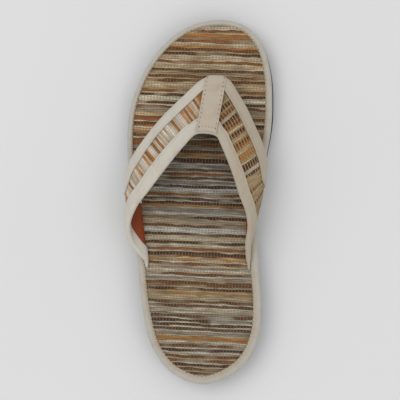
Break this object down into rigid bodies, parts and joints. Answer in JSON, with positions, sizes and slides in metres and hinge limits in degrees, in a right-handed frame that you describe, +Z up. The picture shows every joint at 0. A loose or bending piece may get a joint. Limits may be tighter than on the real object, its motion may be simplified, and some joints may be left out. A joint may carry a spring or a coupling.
{
  "type": "thong sandal",
  "caption": "Flat open sandal for the left foot with a rubber sole, a woven fibre footbed edged with cotton tape and a V-shaped strap of the same cloth between the toes.",
  "frame": {"origin": "on the floor, under the middle of the sandal's outline", "axes": "+Z up, +Y to the toes, +X to the big-toe side"},
  "size_m": [0.11, 0.2695, 0.0438],
  "materials": {
    "rubber": "matt black microcellular rubber",
    "footbed_cloth": "coarse banded weave of natural fibre",
    "strap_cloth": "coarse banded weave of natural fibre, lined with brown cloth",
    "cotton_tape": "matt undyed cotton tape"
  },
  "bodies": {
    "root": {"outsole": "rubber", "footbed": "footbed_cloth", "footbed_tape": "cotton_tape", "strap": "strap_cloth", "front_edge_tape": "cotton_tape", "back_edge_tape": "cotton_tape", "centre_tape": "cotton_tape", "toe_post": "cotton_tape"}
  },
  "joints": []
}
